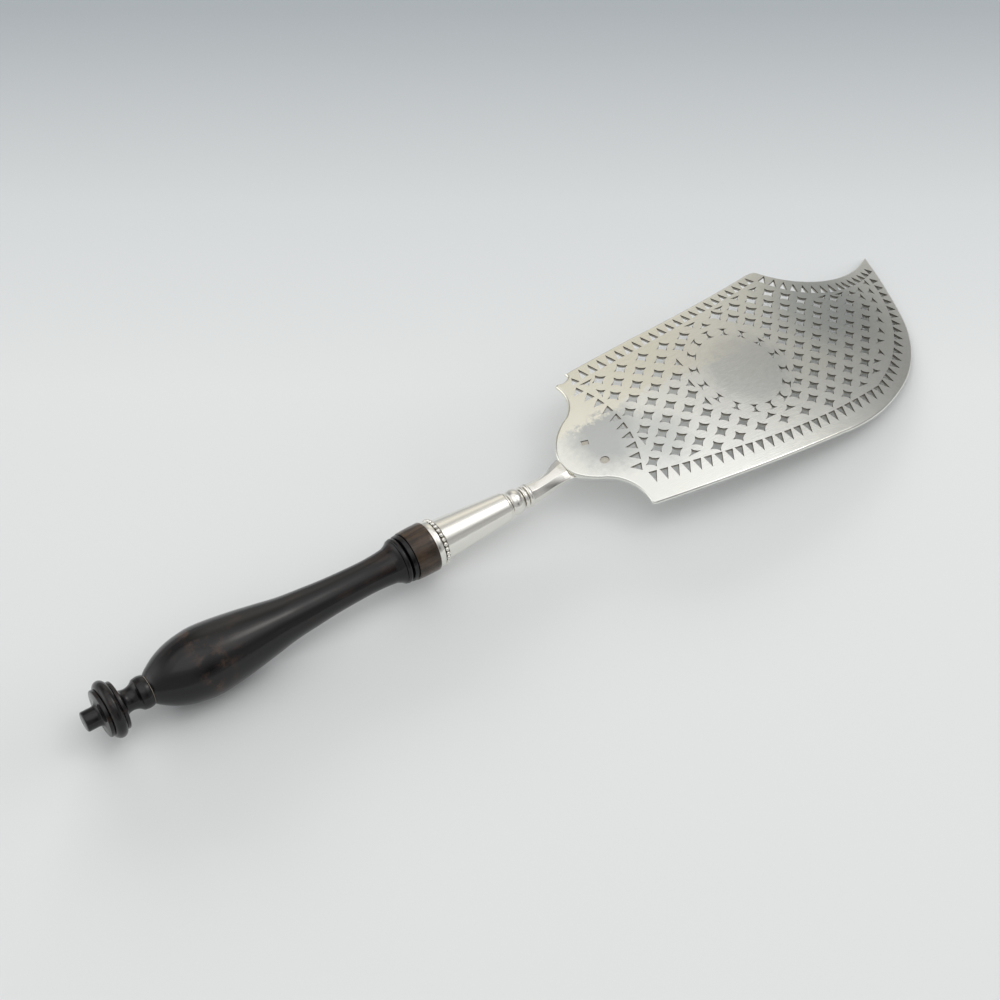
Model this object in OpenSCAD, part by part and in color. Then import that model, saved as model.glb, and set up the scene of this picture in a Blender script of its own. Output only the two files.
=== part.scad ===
// Fish slice: a dished, pierced sheet blade on an octagonal stem, with a ferrule,
// a beaded wire and a turned wooden handle that ends in a separate turned finial.
// All sizes are in millimetres. The handle lies along X, with the blade's tip at +X.
// The part lies as it rests on a table at z = 0: on its bulb and on the blade's end.

/* [Blade sheet] */
// radius of the dome that the sheet is raised to
dome_radius = 424; // [300:600]
// thickness of the sheet
sheet = 1.2; // [0.8:0.1:1.6]
// pitch of the blade, nose down, in degrees
blade_pitch = 7.3; // [5:0.1:10]
// roll of the whole slice about its handle as it lies, in degrees
rest_roll = 6.9; // [0:0.1:10]
// distance of the blade's middle from the end of the handle
blade_x = 300; // [290:310]

/* [Blade outline] */
// plain lobe at the heel: tip
lobe_tip = [-100.8, 2.6];
// heel corner on the near side
near_corner = [-82.2, -29.2];
// ear at the heel on the far side
ear_tip = [-81.9, 34.1];
// start of the straight far edge
far_start = [-75.6, 37.1];
// corner between the far edge and the scoop
far_corner = [23.4, 45.8];
// pointed nose
nose = [81.8, 36.4];
// widest point of the near edge
near_belly = [2, -39.1];

/* [Lattice of stars] */
// half the length and half the height of a star in the heel panel
star_heel = [3.1, 2.5];
// half the length and half the height of a star in the nose panel, at its nose end
star_nose = [2.85, 2.3];
// how much each grows with every place towards the heel and the far edge
star_growth = [0.055, 0.05];
// how far the sides of a star curve in, as a share of their length
star_waist = 0.13; // [0:0.01:0.25]
// middle of the heel panel's lattice
heel_origin = [-56.5, 7.8];
// middle of the nose panel's lattice
nose_origin = [32.9, 4.4];
// half pitch of the heel panel's lattice, along and across
heel_pitch = [5.10, 4.86];
// half pitch of the nose panel's lattice, along and across
nose_pitch = [4.80, 4.78];

/* [Medallion] */
// middle of the plain oval
medallion = [-16.8, 4.1];
// half sizes of the ring of cut-outs round it
ring_radii = [17.7, 20.2];
// number of cut-outs in the ring
ring_count = 16; // [12:20]
// width of a cut-out along the ring
ring_cut_width = 4.1; // [3:0.1:5]
// height of a cut-out across the ring
ring_cut_height = 3.7; // [3:0.1:4.5]
// radius of the bite at each side of a cut-out
ring_bite = 1.75; // [1.2:0.05:2]

/* [Border triangles] */
// width of a triangle at its base
tri_base = 3.2; // [2.5:0.1:4]

/* [Punches] */
// depth of the two blank punches in the lobe
punch_depth = 0.25; // [0.1:0.05:0.5]

/* [Stem] */
// across half of the stem at the knop
stem_start_r = 4.0; // [3:0.1:5]
// across half of the stem at its waist
stem_waist_r = 3.4; // [3:0.1:5]
// thickness of the plate under the lobe
plate_thick = 1.4; // [1:0.1:2]
// middle of that plate, on the blade
plate_middle = [-89.2, 0.8];
// half its length and half its width
plate_half = [11.2, 8.4];
// radius of the tang inside the handle
tang_r = 2.4; // [2:0.1:3]
// length of the plug that closes the tube, and of the tang beyond it
plug_length = 5.4; // [4:0.1:7]
tang_length = 16; // [12:20]

/* [Ferrule] */
// radius at the collar
collar_r = 8.9; // [8:0.1:10]
// radius of the tube at its large end
tube_big_r = 7.9; // [7:0.1:9]
// radius of the tube at its small end
tube_small_r = 5.6; // [5:0.1:7]
// wall of the tube
tube_wall = 0.7; // [0.5:0.1:1.2]
// start of the collar, from the end of the handle
collar_x = 138; // [134:142]
// end of the tube
tube_end_x = 171.4; // [165:175]
// number of beads on the wire
bead_count = 33; // [28:38]
// radius of a bead
bead_r = 0.88; // [0.7:0.01:1]

/* [Wooden handle] */
// radius of the bulb, which rests on the table
bulb_r = 13; // [11:0.1:14]
// radius of the slender part
slim_r = 6.2; // [5:0.1:7]
// radius of the band next to the ferrule
band_r = 9.5; // [9:0.1:10]

/* [Finial] */
// radius of the end peg
peg_r = 3.7; // [3:0.1:4.5]
// length of the end peg
peg_length = 5.8; // [4:0.1:8]
// radius of the disc
disc_r = 10.7; // [9:0.1:12]
// radius of the neck
neck_r = 4.1; // [3:0.1:5]
// radius of the collar at the bulb
finial_collar_r = 6; // [5:0.1:7]

/* [Hidden] */
$fn = 96;
silver = [0.82, 0.82, 0.80];
wood = [0.10, 0.07, 0.06];

// points on the circle through a, b and c, from a to c, without c
function circle_mid(a, b, c) =
    let (
        d = 2 * (a.x * (b.y - c.y) + b.x * (c.y - a.y) + c.x * (a.y - b.y)),
        qa = a * a,
        qb = b * b,
        qc = c * c
    )
    [
        (qa * (b.y - c.y) + qb * (c.y - a.y) + qc * (a.y - b.y)) / d,
        (qa * (c.x - b.x) + qb * (a.x - c.x) + qc * (b.x - a.x)) / d
    ];
function turn(from, to) = ((to - from) % 360 + 540) % 360 - 180;
function arc(a, b, c, n) =
    let (
        m = circle_mid(a, b, c),
        r = norm(a - m),
        ta = atan2(a.y - m.y, a.x - m.x),
        tb = atan2(b.y - m.y, b.x - m.x),
        tc = atan2(c.y - m.y, c.x - m.x),
        sweep = turn(ta, tb) + turn(tb, tc)
    )
    [for (i = [0:n - 1]) m + r * [cos(ta + sweep * i / n), sin(ta + sweep * i / n)]];
function unit(v) = v / norm(v);
function spin(p, t) = [p.x * cos(t) - p.y * sin(t), p.x * sin(t) + p.y * cos(t)];

// outline of the blade, seen square to its middle
outline = concat(
    arc(far_corner + [-2.6, -0.1], far_corner + [-30, -4.6], [-42, 38.4], 8),
    arc([-42, 38.4], [-60, 37.6], far_start, 4),
    [far_start],
    arc(far_start + [0.2, -1.6], [-77.8, 34.0], ear_tip + [1.2, 0.4], 5),
    arc(ear_tip + [1.2, 0.4], ear_tip + [0.3, 0.2], ear_tip + [0, -1.0], 2),
    arc(ear_tip + [0, -1.0], [-82.6, 25.4], [-87.5, 19.4], 7),
    arc([-87.5, 19.4], [-94.6, 14.9], [-98.7, 9.9], 5),
    arc([-98.7, 9.9], lobe_tip, [-98.7, -4.2], 7),
    arc([-98.7, -4.2], [-95, -8.1], [-90, -11.4], 4),
    arc([-90, -11.4], [-84.6, -17.2], near_corner + [0, 1.2], 7),
    arc(near_corner + [0, 1.2], near_corner + [0.3, -0.4], near_corner + [1.5, -1.0], 3),
    arc(near_corner + [1.5, -1.0], [-43.6, -36.2], near_belly, 10),
    arc(near_belly, [20.5, -37.9], [37, -32.6], 6),
    arc([37, -32.6], [57, -19.2], [69, -1.4], 8),
    arc([69, -1.4], [76.4, 19], nose, 6),
    [nose, nose + [-0.5, 0.15]],
    arc([78, 34.7], [57.2, 29.3], [33.6, 37.4], 14),
    arc([33.6, 37.4], [29.6, 40.9], far_corner + [3.4, -1.8], 3),
    arc(far_corner + [3.4, -1.8], far_corner + [2, -0.4], far_corner + [-0.2, 0.1], 3)
);

// a four-pointed star with sides that curve in
function star(c, s, turned = 0) =
    let (tips = [[s.x, 0], [0, s.y], [-s.x, 0], [0, -s.y]])
    [for (k = [0:3])
        let (a = tips[k], b = tips[(k + 1) % 4], inward = -star_waist * (a + b) * 0.9)
        each [
            c + spin(a, turned),
            c + spin(a * 0.66 + b * 0.34 + inward, turned),
            c + spin(a * 0.34 + b * 0.66 + inward, turned)
        ]
    ];
// half of a star, on the side that faces the angle given
function half_star(c, s, facing) =
    let (
        long = facing % 180 == 0 ? s.x : s.y,
        wide = facing % 180 == 0 ? s.y : s.x,
        side_in = -star_waist * [long, wide] * 0.9
    )
    [
        c + spin([0, -wide], facing),
        c + spin([long * 0.34, -wide * 0.66] + [side_in.x, -side_in.y], facing),
        c + spin([long * 0.66, -wide * 0.34] + [side_in.x, -side_in.y], facing),
        c + spin([long, 0], facing),
        c + spin([long * 0.66, wide * 0.34] + side_in, facing),
        c + spin([long * 0.34, wide * 0.66] + side_in, facing),
        c + spin([0, wide], facing)
    ];
// the heel panel's rows bow a little, as the hand-cut ones do
function heel_node(m, n) =
    heel_origin + [heel_pitch.x * m - 0.05 * n, -0.11 * m - heel_pitch.y * n]
    + [0.012 * m * m - 0.01 * m * n - 0.021 * n * n, 0.022 * m * m - 0.051 * m * n + 0.011 * n * n];
function nose_node(m, n) = nose_origin + [nose_pitch.x * m + 0.21 * n, 0.19 * m - nose_pitch.y * n];
function nose_size(m, n) = star_nose + star_growth * max(0, -n - m);

// whole stars of the two panels: row, first place, last place
heel_rows = [[-4, -2, 4], [-3, -1, 3], [-2, -2, 2], [-1, -1, 3], [0, -2, 2], [1, -1, 3],
    [2, -2, 2], [3, -1, 3], [4, -2, 4], [5, -3, 5], [6, 2, 6]];
nose_rows = [[-6, -8, -2], [-5, -7, -1], [-4, -6, 0], [-3, -5, 3], [-2, -4, 4], [-1, -5, 5],
    [0, -4, 4], [1, -5, 3], [2, -6, 2], [3, -5, 1], [4, -8, 0], [5, -7, -1], [6, -6, -4]];
// whole stars moved clear of the ring: middle and share of the full size
heel_moved = [[[-30.6, 24.6], 1], [[-25.6, 28.4], 1], [[-16.5, -23.9], 0.85], [[-6.4, -24.6], 0.88],
    [[4.5, 12.9], 0.75], [[0.5, -11.5], 0.8]];
// parts of stars where the lattice meets a border: middle, and the way that the part faces
heel_parts = [[[-70.6, 21.8], 0], [[-70.3, -5.2], 0], [[-56.8, -20.2], 90], [[-71.6, 29.2], 270],
    [[-19.2, 32.6], 270], [[-37.8, 7.2], 180], [[-37.6, -3], 180], [[-35.4, 18], 180],
    [[-14.6, 28.4], 90], [[-20.4, -20.6], 90], [[-11.2, -21.0], 90]];
nose_parts = [[[-3.0, 34.8], 270], [[7.2, 36.6], 270], [[17.4, 37.6], 270], [[4.4, 3.6], 0],
    [[42.6, 22.2], 270], [[51.2, 21.0], 270], [[56.8, 18.6], 90], [[60.4, 15.6], 180],
    [[62.6, 19.4], 180], [[64.2, 12.2], 180], [[61.8, 6.6], 180], [[58.0, 1.8], 180],
    [[53.8, -3.4], 180], [[48.5, -8.2], 90], [[45.0, -13.0], 180], [[39.0, -16.6], 90],
    [[34.8, -20.7], 90], [[24.8, -24.0], 90], [[67.2, 17.2], 180], [[69.2, 22.2], 180]];

// rows of border triangles: start, middle, end, count, height at start, height at end, lean
tri_rows = [
    [[-74.9, -18.4], [-60.2, -22.1], [-44.6, -25.3], 8, 4.8, 4.8, 0],
    [[-40.4, -25.9], [-5.5, -29.3], [29.3, -26.8], 17, 4.7, 4.5, 0],
    [[33.1, -25.4], [57.2, -7.4], [71.8, 22.5], 16, 4.2, 3.5, 0],
    [[75.9, 27.0], [67, 23.9], [57.8, 22.4], 6, 3.2, 4.2, 0],
    [[54.3, 22.4], [37.4, 26.6], [23.8, 39.0], 9, 4.5, 4.5, 0],
    [[19.5, 40.5], [-26.1, 33.8], [-70.3, 31.4], 22, 3.5, 4.5, 0],
    [[-75.0, 30.8], [-75.1, 30.8], [-75.2, 30.8], 1, 2.9, 2.9, 0],
    [[-75.6, 27.4], [-71.1, 6.5], [-77.0, -14.5], 10, 4.0, 4.2, 0]
];
function row_points(row) =
    row[3] == 1 ? [row[0]] : concat(arc(row[0], row[1], row[2], row[3] - 1), [row[2]]);
function row_way(row, i) =
    let (p = row_points(row), n = len(p))
    n == 1 ? unit(row[2] - row[0]) : unit(p[min(i + 1, n - 1)] - p[max(i - 1, 0)]);
// the triangle at place i of a row, pointing to the right of the row's way
function triangle(row, i) =
    let (
        p = row_points(row)[i],
        way = row_way(row, i),
        out = [way.y, -way.x],
        tall = row[4] + (row[5] - row[4]) * i / max(1, row[3] - 1)
    )
    [p - way * tri_base / 2, p + out * tall + way * row[6], p + way * tri_base / 2];

// a cut-out of the ring: square ends and a round bite at each side
function bite(side) =
    let (open = asin(min(1, ring_cut_height / 2 / ring_bite * 0.98)))
    [for (i = [0:5])
        let (t = -open + 2 * open * i / 5)
        [side * (ring_cut_width / 2 + ring_bite * cos(open) - ring_bite * cos(t)), ring_bite * sin(t) * side]
    ];
ring_shape = concat(bite(1), bite(-1));
function ring_cut(k) =
    let (t = 360 * k / ring_count)
    [for (p = ring_shape)
        let (q = spin([ring_radii.y + p.y, 0] + [0, -p.x], t))
        medallion + [q.x * ring_radii.x / ring_radii.y, q.y]
    ];

module holes() {
    for (row = heel_rows)
        for (m = [row[1]:2:row[2]])
            polygon(star(heel_node(m, row[0]), star_heel));
    for (row = nose_rows)
        for (m = [row[1]:2:row[2]])
            polygon(star(nose_node(m, row[0]), nose_size(m, row[0])));
    for (single = heel_moved)
        polygon(star(single[0], star_heel * single[1]));
    for (part = heel_parts)
        polygon(half_star(part[0], star_heel * 0.9, part[1]));
    for (part = nose_parts)
        polygon(half_star(part[0], star_nose * 0.85, part[1]));
    for (row = tri_rows)
        for (i = [0:row[3] - 1])
            polygon(triangle(row, i));
    for (k = [0:ring_count - 1])
        polygon(ring_cut(k));
}

// where a point of the sheet lies before and after the roll
function dome(p, r) = sqrt(r * r - p.x * p.x - p.y * p.y) - dome_radius;
function pitched(p, r) =
    [
        blade_x + cos(blade_pitch) * p.x + sin(blade_pitch) * dome(p, r),
        p.y,
        -sin(blade_pitch) * p.x + cos(blade_pitch) * dome(p, r)
    ];
function rolled(v) = [v.x, cos(rest_roll) * v.y - sin(rest_roll) * v.z, sin(rest_roll) * v.y + cos(rest_roll) * v.z];
under = [for (p = outline) rolled(pitched(p, dome_radius - sheet))];
over = [for (p = outline) rolled(pitched(p, dome_radius))];
// the blade is raised until its lowest edge is on the table
blade_rise = (-bulb_r - min([for (v = under) v.z])) / cos(rest_roll);
lift_y = -sin(rest_roll) * blade_rise;
low_y = min([for (v = concat(under, over)) v.y]) + lift_y;
high_y = max([for (v = concat(under, over)) v.y]) + lift_y;
far_x = max([for (v = concat(under, over)) v.x]);
shift = [-far_x / 2, -(low_y + high_y) / 2, bulb_r];

module lie() {
    translate(shift)
        rotate([rest_roll, 0, 0])
            children();
}
module at_blade() {
    translate([blade_x, 0, blade_rise])
        rotate([0, blade_pitch, 0])
            children();
}
// the space between two balls about the dome's middle
module shell(outer, inner) {
    translate([0, 0, -dome_radius])
        rotate([90, 0, 0])
            difference() {
                sphere(r = outer, $fn = 360);
                sphere(r = inner, $fn = 360);
            }
}

module blade() {
    color(silver)
        lie()
            at_blade()
                difference() {
                    intersection() {
                        translate([0, 0, -30])
                            linear_extrude(36)
                                difference() {
                                    polygon(outline);
                                    holes();
                                }
                        shell(dome_radius, dome_radius - sheet);
                    }
                    punches();
                }
}
module punches() {
    intersection() {
        translate([0, 0, -20])
            linear_extrude(26) {
                translate([-88.5, 5.7])
                    rotate(-20)
                        square([2.6, 1.9], center = true);
                translate([-86.8, -4.7])
                    rotate(-15)
                        scale([1.9, 1.5])
                            circle(r = 1, $fn = 12);
            }
        shell(dome_radius + 1, dome_radius - punch_depth);
    }
}

// smooth curve through the points of a list
function smooth(p, steps) =
    let (n = len(p))
    [for (i = [0:n - 2])
        let (a = p[max(i - 1, 0)], b = p[i], c = p[i + 1], d = p[min(i + 2, n - 1)])
        each [for (k = [0:steps - 1])
            let (t = k / steps)
            0.5 * (2 * b + (c - a) * t + (2 * a - 5 * b + 4 * c - d) * t * t + (3 * b - a - 3 * c + d) * t * t * t)
        ]
    ];
// a body turned about the handle's axis, from a list of [x, radius]
module turned(profile) {
    rotate([0, 90, 0])
        rotate_extrude($fn = 96)
            polygon([for (p = profile) [p.y, p.x]]);
}
// half of a circle standing on the axis side, as [x, radius] from x1 to x2
function bulge(x1, x2, foot, steps) =
    [for (i = [0:steps]) let (t = 180 * i / steps) [(x1 + x2) / 2 - (x2 - x1) / 2 * cos(t), foot + (x2 - x1) / 2 * sin(t)]];

// eight-sided stem: x, height of its middle, half width, half height
stem_stations = [
    [181.5, 0, stem_start_r - 0.1, stem_start_r - 0.1],
    [184, -0.1, stem_waist_r + 0.3, stem_waist_r + 0.3],
    [188, -0.2, stem_waist_r, stem_waist_r],
    [192, 0.3, stem_waist_r, stem_waist_r],
    [195.5, 0.8, stem_waist_r + 0.9, stem_waist_r - 0.2],
    [199, 1.5, stem_waist_r + 2.1, stem_waist_r - 0.9],
    [203, 2.3, stem_waist_r + 3.3, stem_waist_r - 1.6],
    [208, 3.2, stem_waist_r + 3.8, stem_waist_r - 2.2],
    [213, 4.1, stem_waist_r + 2.6, stem_waist_r - 2.6],
    [218, 4.9, stem_waist_r + 0.4, stem_waist_r - 2.8]
];
module stem() {
    n = len(stem_stations);
    points = [for (s = stem_stations) for (k = [0:7])
        [s[0], s[2] * cos(22.5 + 45 * k) / cos(22.5), s[1] + s[3] * sin(22.5 + 45 * k) / cos(22.5)]];
    sides = [for (i = [0:n - 2]) for (k = [0:7])
        let (a = 8 * i + k, b = 8 * i + (k + 1) % 8)
        each [[a, b + 8, b], [a, a + 8, b + 8]]];
    ends = [for (k = [1:6]) each [[0, k, k + 1], [8 * n - 8, 8 * n - 7 + k, 8 * n - 8 + k]]];
    polyhedron(points = points, faces = concat(sides, ends));
}
plug_x = tube_end_x - plug_length;
tang_x = plug_x - tang_length;
plug_r = tube_small_r - tube_wall - 0.3;
module shank() {
    color(silver)
        lie() {
            turned(concat(
                [[tang_x, 0], [tang_x, tang_r], [plug_x, tang_r], [plug_x, plug_r], [tube_end_x, plug_r],
                    [tube_end_x, tube_small_r]],
                bulge(tube_end_x + 0.01, tube_end_x + 1.3, tube_small_r - 1.15, 6),
                [[tube_end_x + 1.5, 3.9]],
                smooth([[173.1, 4.0], [173.9, 4.6], [175.3, 4.95], [176.9, 4.75], [178.1, 4.1], [178.7, 3.5]], 3),
                [[178.7, 3.3]],
                bulge(179, 180.3, 3.35, 5),
                [[180.5, 3.2]],
                bulge(180.7, 182.2, 3.55, 5),
                [[182.2, 0]]
            ));
            difference() {
                stem();
                at_blade()
                    intersection() {
                        translate([plate_middle.x - 2 * plate_half.x, -2 * plate_half.y, -30])
                            cube([5 * plate_half.x, 4 * plate_half.y, 46]);
                        shell(dome_radius + 20, dome_radius - sheet - 0.4);
                    }
            }
            at_blade()
                intersection() {
                    translate([plate_middle.x, plate_middle.y, -30])
                        linear_extrude(36)
                            polygon([for (i = [0:23]) [plate_half.x * cos(15 * i), plate_half.y * sin(15 * i)]]);
                    shell(dome_radius - sheet, dome_radius - sheet - plate_thick);
                }
        }
}
module ferrule() {
    color(silver)
        lie()
            difference() {
                turned([
                    [collar_x, 0], [collar_x, collar_r - 0.25], [collar_x + 0.25, collar_r],
                    [collar_x + 2.3, collar_r], [collar_x + 2.5, collar_r - 0.3],
                    [collar_x + 2.5, tube_big_r + 0.02],
                    [collar_x + 4.4, tube_big_r], [tube_end_x, tube_small_r], [tube_end_x, 0]
                ]);
                turned([
                    [collar_x - 1, 0], [collar_x - 1, tube_big_r - tube_wall + 0.2],
                    [collar_x + 2, tube_big_r - tube_wall], [plug_x, tube_small_r - tube_wall + 0.3],
                    [plug_x, plug_r], [tube_end_x + 1, plug_r], [tube_end_x + 1, 0]
                ]);
            }
}
module bead_wire() {
    color(silver)
        lie()
            translate([collar_x + 3.4, 0, 0])
                rotate([0, 90, 0])
                    difference() {
                        union() {
                            rotate_extrude($fn = 96)
                                translate([tube_big_r - 0.3, -0.5])
                                    square([0.9, 1.0]);
                            for (i = [0:bead_count - 1])
                                rotate(360 * i / bead_count)
                                    translate([collar_r - bead_r + 0.2, 0, 0])
                                        sphere(r = bead_r, $fn = 16);
                        }
                        cylinder(r = tube_big_r + 0.05, h = 4, center = true, $fn = 96);
                    }
}

bulb_curve = [
    [24.6, 5.4], [26.4, 6.9], [30.4, bulb_r - 3.65], [35, bulb_r - 1.75], [40, bulb_r - 0.6], [46, bulb_r],
    [53, bulb_r - 0.5], [61.8, bulb_r - 1.7], [70.4, bulb_r - 3.15], [79, bulb_r - 4.65],
    [88, slim_r + 1.25], [98, slim_r + 0.45], [110, slim_r], [117, slim_r + 0.15], [121.4, slim_r + 0.6]
];
module handle() {
    color(wood)
        lie()
            difference() {
                turned(concat(
                    [[24.6, 0]],
                    smooth(bulb_curve, 3),
                    smooth([[121.4, slim_r + 0.6], [123.2, slim_r + 1.4], [124.4, slim_r + 2.3]], 3),
                    bulge(124.4, 126.8, band_r - 1.9, 6),
                    [[126.9, band_r - 1.2], [127.2, band_r - 0.6], [128.3, band_r - 0.45], [128.5, band_r - 0.9],
                        [128.9, band_r - 0.9], [129.1, band_r - 0.3], [133, band_r], [collar_x - 0.1, band_r],
                        [collar_x, band_r - 0.4], [collar_x, tube_big_r - tube_wall + 0.16],
                        [collar_x + 2, tube_big_r - tube_wall - 0.03],
                        [plug_x - 0.1, tube_small_r - tube_wall + 0.27], [plug_x - 0.1, 0]]
                ));
                turned([[20, 0], [20, 3.02], [38.2, 3.02], [38.2, 0]]);
                turned([[tang_x - 0.2, 0], [tang_x - 0.2, tang_r + 0.02], [plug_x + 4, tang_r + 0.02], [plug_x + 4, 0]]);
            }
}
module finial() {
    disc_x = peg_length + 0.4;
    color(wood)
        lie()
            turned(concat(
                [[0, 0], [0, peg_r - 0.5], [0.5, peg_r], [peg_length - 1.6, peg_r], [peg_length - 0.8, peg_r + 0.2],
                    [peg_length - 0.2, peg_r + 0.7], [disc_x - 0.2, peg_r + 1.7]],
                [[disc_x - 0.2, disc_r - 2.3], [disc_x + 0.2, disc_r - 1.9], [disc_x + 1.2, disc_r - 1.9]],
                bulge(disc_x + 1.3, disc_x + 5.9, disc_r - 2.3, 12),
                [[disc_x + 6, disc_r - 1.8], [disc_x + 7, disc_r - 1.8], [disc_x + 7.4, disc_r - 2.4]],
                smooth([[disc_x + 7.4, neck_r + 1.9], [disc_x + 8.6, neck_r + 0.5], [disc_x + 10.6, neck_r],
                    [disc_x + 12.6, neck_r + 0.4], [disc_x + 14.2, finial_collar_r - 0.4]], 4),
                smooth([[disc_x + 14.2, finial_collar_r - 0.4], [disc_x + 16.3, finial_collar_r],
                    [disc_x + 18.1, finial_collar_r - 0.4]], 3),
                [[disc_x + 18.1, 4.5], [24.6, 4.5], [24.6, 3], [38, 3], [38, 0]]
            ));
}

blade();
shank();
ferrule();
bead_wire();
handle();
finial();
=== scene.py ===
from math import atan2, cos, pi, radians, sin, sqrt

import bpy
from mathutils import Matrix, Vector


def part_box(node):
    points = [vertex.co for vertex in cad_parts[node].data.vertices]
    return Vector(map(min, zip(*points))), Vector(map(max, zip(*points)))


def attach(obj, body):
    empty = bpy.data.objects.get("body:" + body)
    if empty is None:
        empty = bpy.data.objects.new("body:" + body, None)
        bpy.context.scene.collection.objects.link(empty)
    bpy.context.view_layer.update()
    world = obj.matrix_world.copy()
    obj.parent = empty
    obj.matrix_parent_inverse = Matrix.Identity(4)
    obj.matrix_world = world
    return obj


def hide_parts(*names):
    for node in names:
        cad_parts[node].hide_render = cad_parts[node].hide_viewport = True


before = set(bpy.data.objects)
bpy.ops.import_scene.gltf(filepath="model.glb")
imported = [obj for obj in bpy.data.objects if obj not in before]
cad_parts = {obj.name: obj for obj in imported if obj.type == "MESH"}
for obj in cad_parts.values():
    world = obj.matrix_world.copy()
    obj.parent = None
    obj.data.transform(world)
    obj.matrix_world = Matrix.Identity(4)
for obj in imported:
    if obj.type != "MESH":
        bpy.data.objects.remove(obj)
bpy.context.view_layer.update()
bpy.ops.object.select_all(action="DESELECT")

# The handle's axis runs along X. Stations along it are in millimetres from the finial's peg end.
MM = 0.001
peg_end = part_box("finial")[0].x
handle_low, handle_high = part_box("handle")
axis_y = (handle_low.y + handle_high.y) / 2
axis_z = (handle_low.z + handle_high.z) / 2


# Shapes drawn flat before they are cut or turned, in millimetres.

def circle_middle(a, b, c):
    """Middle of the circle through three points."""
    d = 2 * (a[0] * (b[1] - c[1]) + b[0] * (c[1] - a[1]) + c[0] * (a[1] - b[1]))
    qa = a[0] ** 2 + a[1] ** 2
    qb = b[0] ** 2 + b[1] ** 2
    qc = c[0] ** 2 + c[1] ** 2
    return (
        (qa * (b[1] - c[1]) + qb * (c[1] - a[1]) + qc * (a[1] - b[1])) / d,
        (qa * (c[0] - b[0]) + qb * (a[0] - c[0]) + qc * (b[0] - a[0])) / d,
    )


def arc(a, b, c, count):
    """Points on the arc from a through b to c, without c."""
    m = circle_middle(a, b, c)
    start, middle, end = (atan2(p[1] - m[1], p[0] - m[0]) for p in (a, b, c))
    radius = sqrt((a[0] - m[0]) ** 2 + (a[1] - m[1]) ** 2)

    def turn(t1, t2):
        return (t2 - t1 + 3 * pi) % (2 * pi) - pi

    sweep = turn(start, middle) + turn(middle, end)
    angles = [start + sweep * i / count for i in range(count)]
    return [(m[0] + radius * cos(t), m[1] + radius * sin(t)) for t in angles]


def flowing(points, steps):
    """A smooth line through the points."""
    made = []
    for i in range(len(points) - 1):
        a = Vector(points[max(i - 1, 0)])
        b = Vector(points[i])
        c = Vector(points[i + 1])
        d = Vector(points[min(i + 2, len(points) - 1)])
        for k in range(steps):
            t = k / steps
            p = 2 * b + (c - a) * t + (2 * a - 5 * b + 4 * c - d) * t ** 2 + (3 * b - a - 3 * c + d) * t ** 3
            made.append(tuple(p / 2))
    made.append(tuple(points[-1]))
    return made


def ellipse(middle, radii, count):
    """Points round an ellipse."""
    angles = [2 * pi * i / count for i in range(count)]
    return [(middle[0] + radii[0] * cos(t), middle[1] + radii[1] * sin(t)) for t in angles]


def bead_profile(x1, x2, foot, steps=10):
    """Half a round moulding that stands on radius foot from x1 to x2."""
    half = (x2 - x1) / 2
    angles = [pi * i / steps for i in range(steps + 1)]
    return [((x1 + x2) / 2 - half * cos(t), foot + half * sin(t)) for t in angles]


# Mesh work that every piece shares.

def keep_as(name, angle=30):
    """Names the piece in hand and shades it smooth except over sharp edges."""
    piece = bpy.context.object
    piece.name = name
    piece.data.name = name
    bpy.ops.object.shade_smooth_by_angle(angle=radians(angle))
    piece.select_set(False)
    return piece


def loop_of(points):
    """A closed loop of edges through the points, left in edit mode, all selected."""
    bpy.ops.mesh.primitive_circle_add(vertices=len(points), radius=MM)
    piece = bpy.context.object
    for vertex, point in zip(piece.data.vertices, points):
        vertex.co = Vector(point)
    bpy.ops.object.mode_set(mode="EDIT")
    bpy.ops.mesh.select_mode(type="VERT")
    bpy.ops.mesh.select_all(action="SELECT")
    return piece


def flat_face(points, z):
    """A face through flat points at height z, in edit mode and selected, all in millimetres."""
    loop_of([(x * MM, y * MM, z * MM) for x, y in points])
    bpy.ops.mesh.edge_face_add()


def pull(x=0, y=0, z=0):
    """Draws the selected face out by a step in millimetres."""
    bpy.ops.mesh.extrude_region_move(TRANSFORM_OT_translate={"value": (x * MM, y * MM, z * MM)})


def closed_up():
    """Leaves edit mode with every face turned outwards."""
    bpy.ops.mesh.select_all(action="SELECT")
    bpy.ops.mesh.normals_make_consistent(inside=False)
    bpy.ops.object.mode_set(mode="OBJECT")
    return bpy.context.object


def turned(name, profile, steps=128, angle=30, open_ends=True):
    """A body turned about the handle's axis, from a profile of (x, radius)."""
    places = [(peg_end + x * MM, axis_y, axis_z + r * MM) for x, r in profile]
    piece = loop_of(places)
    if open_ends:
        # the side that lies along the axis goes
        last = len(places) - 1
        bpy.ops.mesh.select_mode(type="EDGE")
        bpy.ops.mesh.select_all(action="DESELECT")
        bpy.ops.object.mode_set(mode="OBJECT")
        for edge in piece.data.edges:
            edge.select = sorted(edge.vertices) == [0, last]
        bpy.ops.object.mode_set(mode="EDIT")
        bpy.ops.mesh.delete(type="EDGE")
        bpy.ops.mesh.select_mode(type="VERT")
        bpy.ops.mesh.select_all(action="SELECT")
    bpy.ops.mesh.spin(steps=steps, angle=2 * pi, center=(peg_end, axis_y, axis_z), axis=(1, 0, 0))
    bpy.ops.mesh.select_all(action="SELECT")
    bpy.ops.mesh.remove_doubles(threshold=0.005 * MM)
    closed_up()
    return keep_as(name, angle)


def tint_between(piece, material, bands):
    """Gives the faces whose middles lie between two stations along the handle another finish."""
    piece.data.materials.append(material)
    last = len(piece.data.materials) - 1
    for face in piece.data.polygons:
        x = (face.center.x - peg_end) / MM
        if any(start < x < end for start, end in bands):
            face.material_index = last


# Materials: each is named for its real finish, and for painted shade where it carries some.

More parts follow.
